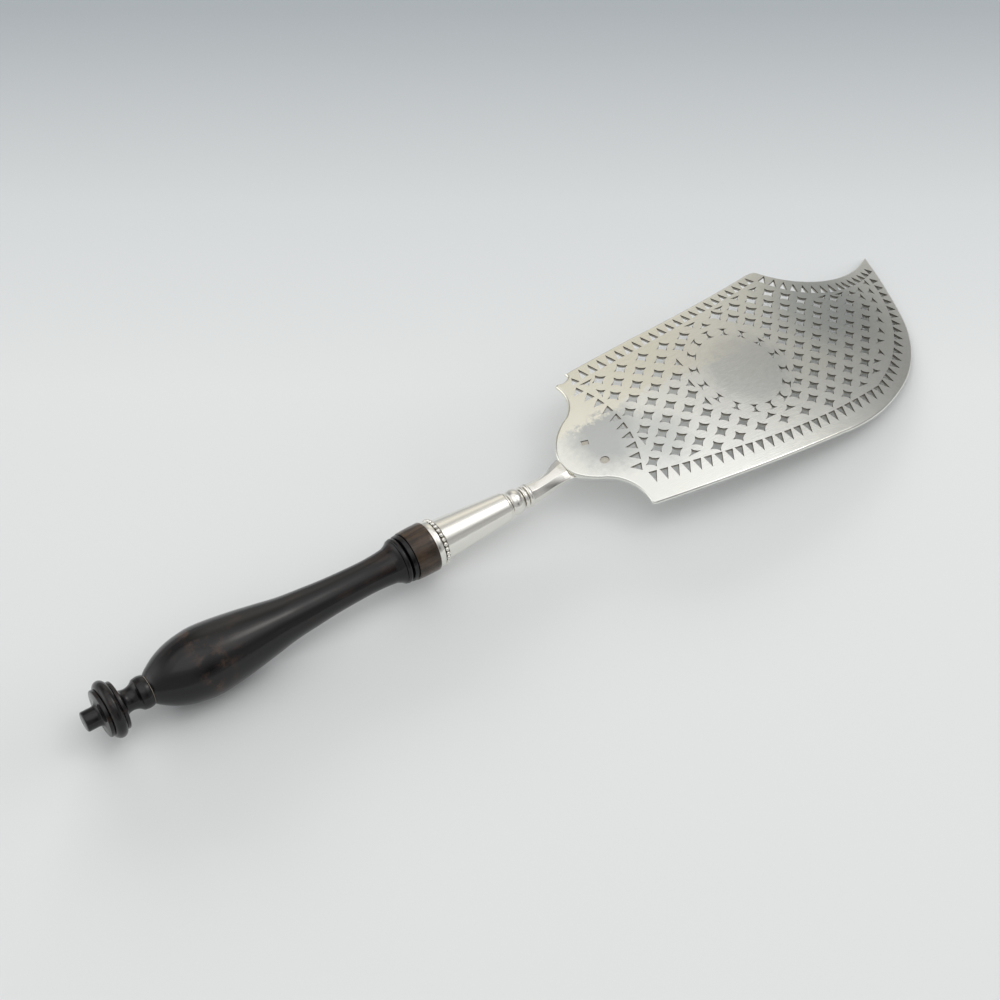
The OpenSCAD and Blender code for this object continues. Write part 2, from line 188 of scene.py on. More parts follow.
def linear(code):
    """An sRGB hex colour as linear numbers."""
    made = []
    for i in (0, 2, 4):
        c = int(code[i:i + 2], 16) / 255
        made.append(c / 12.92 if c <= 0.04045 else ((c + 0.055) / 1.055) ** 2.4)
    return (*made, 1)


def node(tree, kind, settings=None, **links):
    """Adds a node. Settings are its own values or its sockets' values; links feed its sockets."""
    made = tree.nodes.new(kind)
    for key, value in (settings or {}).items():
        if isinstance(key, int) or key in made.inputs:
            made.inputs[key].default_value = value
        else:
            setattr(made, key, value)
    for key, source in links.items():
        tree.links.new(source, made.inputs[key.replace("_", " ")])
    return made


def new_material(name):
    """An empty material and its node tree."""
    material = bpy.data.materials.new(name)
    material.use_nodes = True
    material.node_tree.nodes.clear()
    return material, material.node_tree


def close(tree, shader):
    """Leads the finished shader out to the surface."""
    out = tree.nodes.new("ShaderNodeOutputMaterial")
    tree.links.new(shader.outputs[0], out.inputs["Surface"])


def ramp(tree, source, stops):
    """Colours along a value, from stops of (place, colour)."""
    made = tree.nodes.new("ShaderNodeValToRGB")
    tree.links.new(source, made.inputs["Fac"])
    while len(made.color_ramp.elements) < len(stops):
        made.color_ramp.elements.new(0.5)
    for element, (place, colour) in zip(made.color_ramp.elements, stops):
        element.position = place
        element.color = colour
    return made


def grey(v):
    """A linear grey; the sky's may be brighter than white."""
    return (v, v, v, 1)


def blend(tree, share, first, second):
    """Two colours, fixed or fed, mixed by a share."""
    made = node(tree, "ShaderNodeMix", {"data_type": "RGBA"})
    tree.links.new(share, made.inputs["Factor"])
    for source, socket in ((first, 6), (second, 7)):
        if isinstance(source, tuple):
            made.inputs[socket].default_value = source
        else:
            tree.links.new(source, made.inputs[socket])
    return made.outputs[2]


def rising(tree, source, start, end):
    """0 before start and 1 after end, eased between them."""
    made = node(tree, "ShaderNodeMapRange",
                {"interpolation_type": "SMOOTHSTEP", "From Min": start, "From Max": end}, Value=source)
    return made.outputs["Result"]


def maths(tree, operation, first, second=0.0):
    """A sum of two numbers, each fixed or fed."""
    made = node(tree, "ShaderNodeMath", {"operation": operation})
    for source, socket in ((first, 0), (second, 1)):
        if isinstance(source, (int, float)):
            made.inputs[socket].default_value = source
        else:
            tree.links.new(source, made.inputs[socket])
    return made.outputs[0]


def noise(tree, where, scale, detail, roughness=0.5, distortion=0.0):
    """Uneven values about one half."""
    settings = {"Scale": scale, "Detail": detail, "Roughness": roughness, "Distortion": distortion}
    return node(tree, "ShaderNodeTexNoise", settings, Vector=where).outputs["Fac"]


def spread(tree, source, low, high):
    """A noise's usual values, spread from low to high."""
    settings = {"From Min": 0.3, "From Max": 0.7, "To Min": low, "To Max": high}
    return node(tree, "ShaderNodeMapRange", settings, Value=source).outputs["Result"]


def bumps(tree, height, strength, depth):
    """A fine relief from a noise, its depth in millimetres."""
    settings = {"Strength": strength, "Distance": depth * MM}
    return node(tree, "ShaderNodeBump", settings, Height=height).outputs["Normal"]


# stains on the blade: stations along the handle, and distances across from its axis, in millimetres
cream_start = 10.4
cream_full = 13.9
cream_fade = (240, 310)
ragged_by = 8
# grey clouds: station, distance across, radius of the full tone, radius of the end, colour
grey_clouds = [
    (220, 3.4, 7, 21, "BEC0BE"),
    (236, -8.6, 3, 18, "D2D4D1"),
    (287, 2.4, 12, 21, "DBDCD9"),
    (338, 17.4, 8, 34, "CDD1CF"),
]


def stained(tree, where, colour):
    """Cream tarnish with a ragged edge on the far side of the heel, and grey clouds on the dulled silver."""
    place = node(tree, "ShaderNodeSeparateXYZ", Vector=where)
    ragged = noise(tree, where, 300.0, 4.0, 0.65)
    shift = maths(tree, "MULTIPLY", maths(tree, "SUBTRACT", ragged, 0.5), 2 * ragged_by * MM)
    across = maths(tree, "ADD", place.outputs["Y"], shift)
    begun = rising(tree, across, axis_y + cream_start * MM, axis_y + cream_full * MM)
    faded = rising(tree, place.outputs["X"], peg_end + cream_fade[0] * MM, peg_end + cream_fade[1] * MM)
    cream = maths(tree, "MULTIPLY", begun, maths(tree, "SUBTRACT", 1.0, faded))
    flat = node(tree, "ShaderNodeVectorMath", {"operation": "MULTIPLY", 1: (1, 1, 0)}, Vector=where)
    for station, offset, inner, outer, code in grey_clouds:
        middle = (peg_end + station * MM, axis_y + offset * MM, 0)
        apart = node(tree, "ShaderNodeVectorMath", {"operation": "DISTANCE", 1: middle},
                     Vector=flat.outputs["Vector"])
        away = maths(tree, "ADD", apart.outputs["Value"], maths(tree, "MULTIPLY", shift, 0.5))
        share = maths(tree, "SUBTRACT", 1.0, rising(tree, away, inner * MM, outer * MM))
        colour = blend(tree, share, colour, linear(code))
    return blend(tree, cream, colour, linear("EBE8DA"))


def buffed_silver(name, tint, rough, scratch, dulled=False):
    """Old hand-buffed silver: a soft mirror, broken by fine wiping scratches and faint tarnish clouds."""
    material, tree = new_material(name)
    where = node(tree, "ShaderNodeTexCoord").outputs["Object"]
    # hairline scratches about 0.3 mm apart, drawn out along the blade
    lines = node(tree, "ShaderNodeMapping", {"Scale": (60, 900, 900), "Rotation": (0, 0, radians(24))},
                 Vector=where)
    hair = noise(tree, lines.outputs["Vector"], 3.0, 4.0, 0.6)
    # clouds of warm tarnish some 50 mm across
    cloud = noise(tree, where, 20.0, 3.0, 0.45)
    colour = ramp(tree, cloud, [(0.35, linear(tint[0])), (0.65, linear(tint[1]))]).outputs["Color"]
    if dulled:
        colour = stained(tree, where, colour)
    rubbed = node(tree, "ShaderNodeVectorMath", {"operation": "SCALE"}, Vector=colour,
                  Scale=spread(tree, hair, 0.95, 1.0))
    shader = node(tree, "ShaderNodeBsdfPrincipled", {"Metallic": 1.0},
                  Base_Color=rubbed.outputs["Vector"], Roughness=spread(tree, hair, *rough),
                  Normal=bumps(tree, hair, scratch, 0.06))
    close(tree, shader)
    return material


def sawn_silver(name, dark, light):
    """Silver that was sawn or scraped and never buffed: grey, with a soft broken gleam."""
    material, tree = new_material(name)
    where = node(tree, "ShaderNodeTexCoord").outputs["Object"]
    # saw marks about 0.2 mm apart
    marks = noise(tree, where, 4000.0, 2.0)
    shade = ramp(tree, marks, [(0.35, linear(dark)), (0.65, linear(light))])
    shader = node(tree, "ShaderNodeBsdfPrincipled", {"Metallic": 1.0, "Roughness": 0.5},
                  Base_Color=shade.outputs["Color"], Normal=bumps(tree, marks, 0.3, 0.05))
    close(tree, shader)
    return material


def ebonised_wood(name, dark, brown, share, worn_at=None):
    """Stained and waxed hardwood: near black, with brown grain lines where the stain is thin."""
    material, tree = new_material(name)
    where = node(tree, "ShaderNodeTexCoord").outputs["Object"]
    # grain lines about 1 mm apart and some 30 mm long
    drawn = node(tree, "ShaderNodeMapping", {"Scale": (22, 420, 420)}, Vector=where)
    grain = noise(tree, drawn.outputs["Vector"], 1.6, 6.0, 0.62, 0.4)
    # thin places of the stain, some 12 mm across
    thin = noise(tree, where, 80.0, 4.0, 0.6)
    colour = ramp(tree, maths(tree, "MULTIPLY", grain, thin),
                  [(share, linear(dark)), (share + 0.16, linear(brown))]).outputs["Color"]
    if worn_at:
        # the stain has gone in small patches round the bulb's widest part
        along = node(tree, "ShaderNodeSeparateXYZ", Vector=where)
        off = maths(tree, "ABSOLUTE", maths(tree, "SUBTRACT", along.outputs["X"], peg_end + worn_at * MM))
        near_it = maths(tree, "SUBTRACT", 1.0, rising(tree, off, 2 * MM, 9 * MM))
        patches = rising(tree, noise(tree, where, 170.0, 5.0, 0.6), 0.5, 0.64)
        colour = blend(tree, maths(tree, "MULTIPLY", near_it, patches), colour, linear("36261C"))
    shader = node(tree, "ShaderNodeBsdfPrincipled", {"IOR": 1.46}, Base_Color=colour,
                  Roughness=spread(tree, grain, 0.12, 0.2), Normal=bumps(tree, grain, 0.15, 0.12))
    close(tree, shader)
    return material


def dried_glue(name, code):
    """The thin line of old glue between two turned pieces: pale, dry and matte."""
    material, tree = new_material(name)
    close(tree, node(tree, "ShaderNodeBsdfPrincipled", {"Base Color": linear(code), "Roughness": 0.7}))
    return material


satin = buffed_silver("hand_buffed_silver", ("EBEBE2", "EEEEE9"), (0.13, 0.2), 0.55, dulled=True)
bright = buffed_silver("bright_polished_silver", ("F2F0E9", "F5F3EE"), (0.14, 0.2), 0.2)
# the dark grey of hole and punch walls is partly the real unbuffed metal and partly painted shade
sawn_with_painted_shade = sawn_silver("sawn_silver_edges_with_painted_shade", "6E6A61", "8E897E")
scraped = sawn_silver("scraped_silver_edges", "B4B0A6", "CFCBC2")
tarnish = sawn_silver("tarnished_recess", "6E6A61", "8E897E")
wood = ebonised_wood("waxed_ebonised_wood", "080708", "281C16", 0.28, worn_at=46)
band_wood = ebonised_wood("thinly_stained_wood", "2A2017", "4A3A2C", 0.19)
worn_wood = ebonised_wood("worn_ebonised_wood", "0A0909", "30221A", 0.27)
pale_joint = dried_glue("dried_glue_joint", "8C8478")


# The silver blade.

# radius of the ball that the sheet follows, and the sheet's thickness
dome_radius = 424
sheet = 1.2
# the blade's middle is at this station; the blade tips down towards its nose, and the slice rolls as it rests
blade_x = 300
blade_pitch = 7.3
rest_roll = 6.9

# the outline, from the far corner along the far edge to the heel and back by the near edge and the nose
near_belly = (2, -39.1)
nose = (81.8, 36.4)

outline = [
    *arc((20.8, 45.7), (-6.6, 41.2), (-42, 38.4), 24),
    *arc((-42, 38.4), (-60, 37.6), (-75.6, 37.1), 10),
    (-75.6, 37.1),
    *arc((-75.4, 35.5), (-77.8, 34.0), (-80.7, 34.5), 8),
    *arc((-80.7, 34.5), (-81.6, 34.3), (-81.9, 33.1), 4),
    *arc((-81.9, 33.1), (-82.6, 25.4), (-87.5, 19.4), 12),
    *arc((-87.5, 19.4), (-94.6, 14.9), (-98.7, 9.9), 10),
    *arc((-98.7, 9.9), (-100.8, 2.6), (-98.7, -4.2), 14),
    *arc((-98.7, -4.2), (-95, -8.1), (-90, -11.4), 8),
    *arc((-90, -11.4), (-84.6, -17.2), (-82.2, -28), 12),
    *arc((-82.2, -28), (-81.9, -29.6), (-80.7, -30.2), 5),
    *arc((-80.7, -30.2), (-43.6, -36.2), near_belly, 30),
    *arc(near_belly, (20.5, -37.9), (37, -32.6), 16),
    *arc((37, -32.6), (57, -19.2), (69, -1.4), 20),
    *arc((69, -1.4), (76.4, 19), nose, 16),
    nose,
    *arc((78, 34.7), (57.2, 29.3), (33.6, 37.4), 30),
    *arc((33.6, 37.4), (29.6, 40.9), (26.8, 44), 8),
    *arc((26.8, 44), (25.4, 45.4), (23.2, 45.9), 6),
]

# half length and half width of a star in each lattice panel, how far its sides curve in,
# and where along a side the points of its curve lie
heel_star = (3.1, 2.5)
nose_star = (2.85, 2.3)
star_waist = 0.117
side_steps = (0.34, 0.66)
# the stars of each panel: row, first and last place in it
heel_rows = [(-4, -2, 4), (-3, -1, 3), (-2, -2, 2), (-1, -1, 3), (0, -2, 2), (1, -1, 3), (2, -2, 2),
             (3, -1, 3), (4, -2, 4), (5, -3, 5), (6, 2, 6)]
nose_rows = [(-6, -8, -2), (-5, -7, -1), (-4, -6, 0), (-3, -5, 3), (-2, -4, 4), (-1, -5, 5), (0, -4, 4),
             (1, -5, 3), (2, -6, 2), (3, -5, 1), (4, -8, 0), (5, -7, -1), (6, -6, -4)]
# whole stars moved clear of the ring: middle and share of the full size
heel_moved = [((-30.6, 24.6), 1), ((-25.6, 28.4), 1), ((-16.5, -23.9), 0.85), ((-6.4, -24.6), 0.88),
              ((4.5, 12.9), 0.75), ((0.5, -11.5), 0.8)]
# part stars where the lattice meets a border: middle, and the way that the part faces
heel_parts = [((-70.6, 21.8), 0), ((-70.3, -5.2), 0), ((-56.8, -20.2), 90), ((-71.6, 29.2), 270),
              ((-19.2, 32.6), 270), ((-37.8, 7.2), 180), ((-37.6, -3), 180), ((-35.4, 18), 180),
              ((-14.6, 28.4), 90), ((-20.4, -20.6), 90), ((-11.2, -21.0), 90)]
nose_parts = [((-3.0, 34.8), 270), ((7.2, 36.6), 270), ((17.4, 37.6), 270), ((4.4, 3.6), 0),
              ((42.6, 22.2), 270), ((51.2, 21.0), 270), ((56.8, 18.6), 90), ((60.4, 15.6), 180),
              ((62.6, 19.4), 180), ((64.2, 12.2), 180), ((61.8, 6.6), 180), ((58.0, 1.8), 180),
              ((53.8, -3.4), 180), ((48.5, -8.2), 90), ((45.0, -13.0), 180), ((39.0, -16.6), 90),
              ((34.8, -20.7), 90), ((24.8, -24.0), 90), ((67.2, 17.2), 180), ((69.2, 22.2), 180)]

# the plain oval, and the ring of cut-outs round it: half its length and width, and how many there are
medallion = (-16.8, 4.1)
ring_radii = (17.7, 20.2)
ring_count = 16
# width of a cut-out's ends, and the radius of the round bite in each of its sides
ring_cut = 4.1
ring_bite = 1.75

# width of a border triangle at its base
tri_base = 3.2
# border triangles: start, middle and end of the row, count, height at the start and at the end
tri_rows = [
    ((-74.9, -18.4), (-60.2, -22.1), (-44.6, -25.3), 8, 4.8, 4.8),
    ((-40.4, -25.9), (-5.5, -29.3), (29.3, -26.8), 17, 4.7, 4.5),
    ((33.1, -25.4), (57.2, -7.4), (71.8, 22.5), 16, 4.2, 3.5),
    ((75.9, 27.0), (67, 23.9), (57.8, 22.4), 6, 3.2, 4.2),
    ((54.3, 22.4), (37.4, 26.6), (23.8, 39.0), 9, 4.5, 4.5),
    ((19.5, 40.5), (-26.1, 33.8), (-70.3, 31.4), 22, 3.5, 4.5),
    ((-75.0, 30.8), (-75.1, 30.8), (-75.2, 30.8), 1, 2.9, 2.9),
    ((-75.6, 27.4), (-71.1, 6.5), (-77.0, -14.5), 10, 4.0, 4.2),
]

# the blank punches in the lobe: a rectangle and an oval
square_at = (-88.5, 5.7)
square_half = (1.4, 1.0)
square_turn = -20
oval_at = (-86.8, -4.7)
oval_radii = (1.8, 1.6)
punch_depth = 0.4

# how far the cutting blocks reach below the sheet's top, the width of a hole's softened rim,
# and the height of the upper part of its walls, coloured dark as painted shade over the unbuffed metal
block_reach = 3
rim_width = 0.13
shaded_depth = 0.5


def scaled(size, share):
    """A star's half length and half width, made smaller."""
    return (size[0] * share, size[1] * share)


def turned_by(p, t):
    """A flat point turned about the origin."""
    return (p[0] * cos(t) - p[1] * sin(t), p[0] * sin(t) + p[1] * cos(t))


def star(middle, size):
    """Four points with sides that curve in."""
    tips = [(size[0], 0), (0, size[1]), (-size[0], 0), (0, -size[1])]
    made = []
    for k in range(4):
        a = Vector(tips[k])
        b = Vector(tips[(k + 1) % 4])
        inward = -star_waist * (a + b)
        for share in (0, *side_steps):
            p = a.lerp(b, share) + (inward if share else Vector((0, 0)))
            made.append((middle[0] + p.x, middle[1] + p.y))
    return made


def half_star(middle, size, facing):
    """A star cut off along its middle, with its point towards facing."""
    long, wide = size if facing % 180 == 0 else (size[1], size[0])
    near_base, near_tip = (share - star_waist for share in side_steps)
    side = [(long * near_base, wide * near_tip), (long * near_tip, wide * near_base)]
    shape = [(0, -wide), (side[0][0], -side[0][1]), (side[1][0], -side[1][1]), (long, 0),
             side[1], side[0], (0, wide)]
    placed = [turned_by(p, radians(facing)) for p in shape]
    return [(middle[0] + p[0], middle[1] + p[1]) for p in placed]


def heel_place(m, n):
    """The heel panel's rows bow a little, as the hand-cut ones do."""
    x = -56.5 + 5.10 * m - 0.05 * n + 0.012 * m * m - 0.01 * m * n - 0.021 * n * n
    y = 7.8 - 0.11 * m - 4.86 * n + 0.022 * m * m - 0.051 * m * n + 0.011 * n * n
    return (x, y)


def nose_place(m, n):
    """The nose panel's rows are straight."""
    return (32.9 + 4.80 * m + 0.21 * n, 4.4 + 0.19 * m - 4.78 * n)


def nose_size(m, n):
    """The stars grow towards the heel and the far edge."""
    grown = max(0, -n - m)
    return (nose_star[0] + 0.055 * grown, nose_star[1] + 0.05 * grown)


def ring_shape(k):
    """A cut-out of the ring: square ends and a round bite at each side."""
    flat = []
    for side in (1, -1):
        for i in range(6):
            t = pi * (i / 5 - 0.5)
            flat.append((side * (ring_cut / 2 - ring_bite * cos(t)), side * ring_bite * sin(t)))
    placed = [turned_by((ring_radii[1] + y, -x), 2 * pi * k / ring_count) for x, y in flat]
    return [(medallion[0] + p[0] * ring_radii[0] / ring_radii[1], medallion[1] + p[1]) for p in placed]


def triangle_row(start, middle, end, count, tall_first, tall_last):
    """Triangles along an arc, each with its point outwards."""
    places = [start] if count == 1 else arc(start, middle, end, count - 1) + [end]
    made = []
    for i, place in enumerate(places):
        before = Vector(places[max(i - 1, 0)]) if count > 1 else Vector(start)
        after = Vector(places[min(i + 1, count - 1)]) if count > 1 else Vector(end)
        way = (after - before).normalized()
        out = Vector((way.y, -way.x))
        tall = tall_first + (tall_last - tall_first) * i / max(1, count - 1)
        p = Vector(place)
        made.append([tuple(p - way * tri_base / 2), tuple(p + out * tall), tuple(p + way * tri_base / 2)])
    return made


heel_places = [heel_place(m, row) for row, first, last in heel_rows for m in range(first, last + 1, 2)]
single_holes = [star(nose_place(m, row), nose_size(m, row))
                for row, first, last in nose_rows for m in range(first, last + 1, 2)]
single_holes += [star(middle, scaled(heel_star, share)) for middle, share in heel_moved]
# part stars are a little smaller than whole ones
single_holes += [half_star(middle, scaled(heel_star, 0.9), way) for middle, way in heel_parts]
single_holes += [half_star(middle, scaled(nose_star, 0.85), way) for middle, way in nose_parts]
single_holes += [shape for row in tri_rows for shape in triangle_row(*row)]
single_holes += [ring_shape(k) for k in range(ring_count)]


def two_finishes(block, first, second, takes_second):
    """Gives a block two materials, the second one where a face asks for it."""
    block.data.materials.append(first)
    block.data.materials.append(second)
    for face in block.data.polygons:
        face.material_index = 1 if takes_second(face) else 0
    return block


def saw_block(points):
    """A prism that cuts one hole with a softened rim; the upper part of its walls is painted dark as shade,
    the part below a lighter grey.
    """
    flat_face(points, -block_reach)
    flare = 1.15 * rim_width
    for height in (block_reach - shaded_depth, shaded_depth - rim_width, flare):
        pull(z=height)
    middle = Vector((sum(x for x, y in points), sum(y for x, y in points), 0)) / len(points)
    reach = max((Vector((x, y, 0)) - middle).length for x, y in points)
    grow = 1 + flare / reach
    bpy.ops.transform.resize(value=(grow, grow, 1), center_override=middle * MM)
    # painted shade: the upper walls take the dark grey, the lower walls the lighter one
    return two_finishes(closed_up(), sawn_with_painted_shade, scraped, lambda face: face.center.z < -shaded_depth * MM)


def punch_block(points):
    """Cuts a blank punch: painted shade darkens its walls, while its floor stays clean."""
    flat_face(points, -punch_depth)
    pull(z=1)
    # painted shade on the punch's walls, over the unbuffed metal
    return two_finishes(closed_up(), sawn_with_painted_shade, scraped, lambda face: face.normal.z < -0.5)


def punches():
    """The blocks of the two blank punches."""
    corners = [turned_by((x * square_half[0], y * square_half[1]), radians(square_turn))
               for x, y in ((-1, -1), (1, -1), (1, 1), (-1, 1))]
    square = [(square_at[0] + x, square_at[1] + y) for x, y in corners]
    return [punch_block(square), punch_block(ellipse(oval_at, oval_radii, 20))]


def copies_of(block, places):
    """Copies of a block at flat places, each with its own mesh; the block itself goes."""
    made = []
    for x, y in places:
        twin = block.copy()
        twin.data = block.data.copy()
        twin.data.transform(Matrix.Translation((x * MM, y * MM, 0)))
        bpy.context.collection.objects.link(twin)
        made.append(twin)
    bpy.data.objects.remove(block)
    return made


def joined(parts):
    """All the parts as one object."""
    bpy.ops.object.select_all(action="DESELECT")
    for part in parts:
        part.select_set(True)
    bpy.context.view_layer.objects.active = parts[0]
    bpy.ops.object.join()
    return bpy.context.object


def cut_with(piece, tool, operation):
    """Cuts the piece with the tool, which goes; new faces take the tool's finish."""
    bpy.ops.object.select_all(action="DESELECT")
    bpy.context.view_layer.objects.active = piece
    piece.select_set(True)
    saw = piece.modifiers.new("saw", "BOOLEAN")
    saw.object = tool
    saw.operation = operation
    saw.solver = "EXACT"
    saw.material_mode = "TRANSFER"
    bpy.ops.object.modifier_apply(modifier=saw.name)
    bpy.data.objects.remove(tool)


handle_home = Matrix.Translation((peg_end, axis_y, axis_z)) @ Matrix.Rotation(radians(rest_roll), 4, "X")


def blade_place(rise):
    """Where the blade's own frame lies: pitched, raised over the handle's axis, and rolled with it."""
    raised = Matrix.Translation((blade_x * MM, 0, rise))
    return handle_home @ raised @ Matrix.Rotation(radians(blade_pitch), 4, "Y")


def raise_to_dome(piece, radius):
    """Bends a flat piece on to a ball of this radius about the dome's middle."""
    for vertex in piece.data.vertices:
        x, y = vertex.co.x / MM, vertex.co.y / MM
        vertex.co.z += (sqrt(radius ** 2 - x * x - y * y) - dome_radius) * MM


def flat_sheet():
    """The sheet before it is cut, 200 by 100 mm, in 6 mm squares so that it can be raised to a dome."""
    bpy.ops.mesh.primitive_grid_add(x_subdivisions=34, y_subdivisions=17, size=1, location=(0, 0, 0))
    bpy.ops.object.mode_set(mode="EDIT")
    bpy.ops.mesh.select_all(action="SELECT")
    bpy.ops.transform.resize(value=(200 * MM, 100 * MM, 1), center_override=(0, 0, 0))
    bpy.ops.transform.translate(value=(-9 * MM, 0, -sheet * MM))
    pull(z=sheet)
    piece = closed_up()
    piece.data.materials.append(satin)
    return piece


def outline_block():
    """A prism of the blade's outline, with its upper edge rounded over."""
    flat_face(outline, -block_reach)
    pull(z=block_reach + 0.001)
    bpy.ops.mesh.bevel(offset=0.8 * MM, segments=4, affect="EDGES")
    piece = closed_up()
    piece.data.materials.append(satin)
    return piece


def make_blade():
    """The blade, and how far it lies above the handle's axis."""
    blade = flat_sheet()
    cut_with(blade, outline_block(), "INTERSECT")
    blocks = copies_of(saw_block(star((0, 0), heel_star)), heel_places)
    blocks += [saw_block(points) for points in single_holes]
    blocks += punches()
    cut_with(blade, joined(blocks), "DIFFERENCE")

    # raised to the dome, then laid as the slice rests, with its lowest edge on the table
    raise_to_dome(blade, dome_radius)
    lowest = min((blade_place(0) @ v.co).z for v in blade.data.vertices)
    rise = -lowest / cos(radians(rest_roll))
    blade.data.transform(blade_place(rise))
    bpy.ops.object.select_all(action="DESELECT")
    bpy.context.view_layer.objects.active = blade
    blade.select_set(True)
    blade = keep_as("pierced_blade", 35)
    even = blade.modifiers.new("even", "WEIGHTED_NORMAL")
    even.keep_sharp = True
    even.weight = 100
    bpy.ops.object.modifier_apply(modifier=even.name)
    return blade, rise


# The silver ferrule, its beads, the knop and the stem.

def make_ferrule():
    """The tapered tube, with its collar next to the wood and a dull groove for the beads."""
    profile = [
        (138, 7.4), (138, 8.6), (138.1, 8.82), (138.3, 8.9), (140.1, 8.9), (140.3, 8.82), (140.4, 8.6),
        (140.42, 7.75), (142.5, 7.75), (142.55, 7.92), (143, 7.82), (171.2, 5.62), (171.4, 5.4),
        (171.4, 4.7), (166, 4.7), (166, 5), (144, 7.2),
    ]
    return turned("tapered_ferrule", profile, open_ends=False)


bead_count = 28
bead_radius = 0.86
bead_ring = (141.4, 8.36)


def make_beads():
    """One bead at its station and distance from the axis, then its copies round the tube."""
    middle = (peg_end + bead_ring[0] * MM, axis_y, axis_z + bead_ring[1] * MM)
    bpy.ops.mesh.primitive_uv_sphere_add(segments=18, ring_count=12, radius=bead_radius * MM, location=middle)
    bpy.ops.object.transform_apply(location=True, rotation=False, scale=False)
    bpy.ops.object.mode_set(mode="EDIT")
    bpy.ops.mesh.select_all(action="SELECT")
    for i in range(bead_count - 1):
        bpy.ops.mesh.duplicate()
        bpy.ops.transform.rotate(value=2 * pi / bead_count, orient_axis="X",
                                 center_override=(peg_end, axis_y, axis_z))
    bpy.ops.object.mode_set(mode="OBJECT")
    return keep_as("bead_row", 80)


def make_knop():
    """A ring, a ball and two thin rings, with grooves between them."""
    ball_line = [(173.05, 4.05), (173.9, 4.65), (175.3, 5.0), (176.9, 4.75), (178.0, 4.1), (178.4, 3.65)]
    profile = [
        (171, 0), (171, 4.3), (171.45, 4.35),
        *bead_profile(171.5, 172.7, 4.45, 8),
        (172.8, 3.8), (173, 3.8),
        *flowing(ball_line, 6),
        (178.45, 3.4), (178.65, 3.4),
        *bead_profile(178.7, 180.4, 3.5, 8),
        (180.42, 3.35), (180.58, 3.35),
        *bead_profile(180.6, 182.4, 3.65, 8),
        (182.4, 0),
    ]
    return turned("turned_knop", profile, angle=40)


# stations of the stem: x, middle across, height of its middle over the axis, half width, half height
stem_stations = [
    (181.5, 0, 0, 3.9, 3.9), (184.5, 0, -0.2, 3.75, 3.7), (188.5, 0, 0.3, 3.55, 3.5),
    (192, 0.2, 1.3, 3.6, 3.1), (196, 0.8, 2.6, 4.5, 2.0), (199, 1.2, 3.0, 5.0, 1.5),
    (203, 1.5, 3.0, 5.8, 1.3), (208, 1.2, 3.4, 6.2, 1.0), (213, 0.8, 4.2, 5.4, 0.7),
    (218, 0.5, 4.9, 3.8, 0.6),
]
# its seat under the blade: length and width of the cut, its middle on the blade, and the solder's gap
seat_size = (50, 40)
seat_middle = -76
seat_gap = 0.4
# the plate under the lobe: its middle on the blade, half length and half width, and thickness
plate_middle = (-89.2, 0.8)
plate_half = (11.2, 8.4)
plate_thick = 1.4


def make_stem():
    """Eight-sided stem, drawn out ring by ring, with narrow rounded edges."""
    def ring(x, across, rise, wide, high):
        reach = 1 / cos(pi / 8)
        angles = [pi / 8 + pi / 4 * k for k in range(8)]
        corners = [(x, across + wide * reach * cos(t), rise + high * reach * sin(t)) for t in angles]
        return [Vector(corner) * MM for corner in corners]

    piece = loop_of(ring(*stem_stations[0]))
    bpy.ops.mesh.edge_face_add()
    before = stem_stations[0]
    for station in stem_stations[1:]:
        pull(*(new - old for new, old in zip(station[:3], before[:3])))
        bpy.ops.transform.resize(value=(1, station[3] / before[3], station[4] / before[4]),
                                 center_override=[place * MM for place in station[:3]])
        before = station
    closed_up()
    piece.data.transform(handle_home)
    soft = piece.modifiers.new("soft", "BEVEL")
    soft.width = 0.15 * MM
    soft.segments = 2
    soft.limit_method = "ANGLE"
    soft.angle_limit = radians(30)
    bpy.ops.object.modifier_apply(modifier=soft.name)

    # its end is filed to the blade's underside
    bpy.ops.mesh.primitive_grid_add(x_subdivisions=16, y_subdivisions=10, size=1)
    bpy.ops.object.mode_set(mode="EDIT")
    bpy.ops.mesh.select_all(action="SELECT")
    bpy.ops.transform.resize(value=(seat_size[0] * MM, seat_size[1] * MM, 1), center_override=(0, 0, 0))
    bpy.ops.transform.translate(value=(seat_middle * MM, 0, 0))
    pull(z=20)
    waste = closed_up()
    raise_to_dome(waste, dome_radius - sheet - seat_gap)
    waste.data.transform(blade_place(blade_rise))
    cut_with(piece, waste, "DIFFERENCE")
    return keep_as("octagonal_stem", 20)


def make_lobe_plate():
    """The oval plate soldered under the lobe."""
    flat_face(ellipse(plate_middle, plate_half, 48), -plate_thick)
    bpy.ops.mesh.bevel(offset=0.2 * MM, segments=2, affect="EDGES")
    bpy.ops.mesh.select_all(action="SELECT")
    pull(z=plate_thick)
    piece = closed_up()
    raise_to_dome(piece, dome_radius - sheet)
    piece.data.transform(blade_place(blade_rise))
    return keep_as("lobe_plate", 40)


# The turned wooden handle and its finial.

def make_handle():
    """Bulb, slender neck, two ring beads and the band next to the ferrule."""
    bulb_line = [
        (24.6, 5.4), (26.4, 6.9), (30.4, 9.35), (35, 11.25), (40, 12.4), (46, 13), (53, 12.5), (61.8, 11.3),
        (70.4, 9.85), (79, 8.35), (88, 7.45), (98, 6.65), (110, 6.2), (117, 6.35), (121.4, 6.8),
    ]
    profile = [
        (24.6, 0),
        *flowing(bulb_line, 8),
        *flowing([(121.4, 6.8), (123.2, 7.6), (124.4, 8.5)], 4)[1:],
        *bead_profile(124.4, 126.8, 7.6, 10),
        (126.9, 8.3), (127.2, 8.9), (128.3, 9.05), (128.5, 8.6), (128.9, 8.6), (129.1, 9.2),
        *flowing([(129.3, 9.28), (131, 9.42), (133, 9.5), (137.7, 9.5)], 3),
        (137.9, 9.4), (138, 9.1), (138, 0),
    ]
    return turned("wooden_handle", profile)


